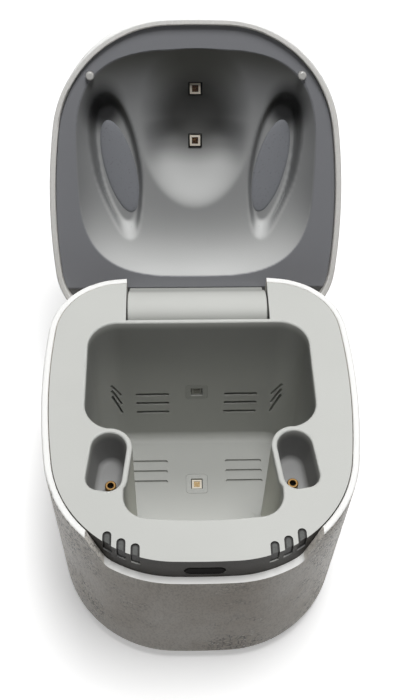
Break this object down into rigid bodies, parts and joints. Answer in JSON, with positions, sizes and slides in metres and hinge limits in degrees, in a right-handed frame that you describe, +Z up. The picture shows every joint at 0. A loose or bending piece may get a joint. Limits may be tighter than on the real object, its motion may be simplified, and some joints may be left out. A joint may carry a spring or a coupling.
{
  "type": "hearing aid dryer",
  "caption": "Desk-top hearing aid dryer: tub with a drying chamber and two charging wells under a hinged, padded lid with ultraviolet lamps.",
  "frame": {"origin": "middle of the foot pad's underside", "axes": "+Z up, +Y towards the hinge at the back, +X to the right seen from the front"},
  "size_m": [0.0966, 0.1671, 0.1388],
  "materials": {
    "shell_white": "satin, worn",
    "tray_grey": "fine matt texture",
    "liner_grey": "satin",
    "pad_dark": "matt",
    "bumper_clear": "satin",
    "window_smoke": "gloss",
    "button_black": "gloss",
    "contact_gold": "plated",
    "socket_black": "matt",
    "lamp_ceramic": "matt",
    "bezel_grey": "satin",
    "board_green": "satin",
    "chip_black": "matt",
    "inner_black": "matt",
    "metal_bright": "brushed",
    "heater_metal": "satin",
    "foot_rubber": "matt"
  },
  "bodies": {
    "base": {"base_shell": "shell_white", "base_plate": "shell_white", "foot_pad": "foot_rubber", "base_screws": "metal_bright", "inner_tray": "tray_grey", "status_board_left": "board_green", "status_board_right": "board_green", "contact_ring_left": "contact_gold", "contact_ring_right": "contact_gold", "contact_socket_left": "socket_black", "contact_socket_right": "socket_black", "floor_lamp": "lamp_ceramic", "floor_lamp_board": "board_green", "floor_lamp_bezel": "bezel_grey", "back_lamp": "lamp_ceramic", "back_lamp_board": "board_green", "back_lamp_bezel": "bezel_grey", "air_duct": "inner_black", "heater": "heater_metal", "fan_frame": "inner_black", "main_board": "board_green", "controller_chip": "chip_black", "usb_socket": "metal_bright", "hinge_pin": "metal_bright", "button_switch": "inner_black", "status_window_left_1": "window_smoke", "status_window_left_2": "window_smoke", "status_window_left_3": "window_smoke", "status_window_right_1": "window_smoke", "status_window_right_2": "window_smoke", "status_window_right_3": "window_smoke"},
    "lid": {"lid_shell": "shell_white", "lid_liner": "liner_grey", "hinge_knuckle": "tray_grey", "lid_pad_left": "pad_dark", "lid_pad_right": "pad_dark", "bumper_left": "bumper_clear", "bumper_right": "bumper_clear", "lid_lamp_front": "lamp_ceramic", "lid_lamp_rear": "lamp_ceramic", "lid_lamp_board": "board_green", "lid_magnet": "metal_bright", "lid_screws": "metal_bright"},
    "button": {"start_button": "button_black"},
    "fan": {"fan_rotor": "inner_black"}
  },
  "joints": [
    {"name": "lid_hinge", "type": "hinge", "parent": "base", "child": "lid", "pos_m": [0, 0.04215, 0.0617], "axis": [1, 0, 0], "range_deg": [0, 119.2]},
    {"name": "start_button_press", "type": "slide", "parent": "base", "child": "button", "axis": [0, 1, 0], "range_m": [0, 0.0008], "stiffness_N_per_m": 300, "springref_m": -0.001},
    {"name": "fan_spin", "type": "hinge", "parent": "base", "child": "fan", "pos_m": [0, 0.0418, 0.0305], "axis": [0, 1, 0], "continuous": true}
  ]
}
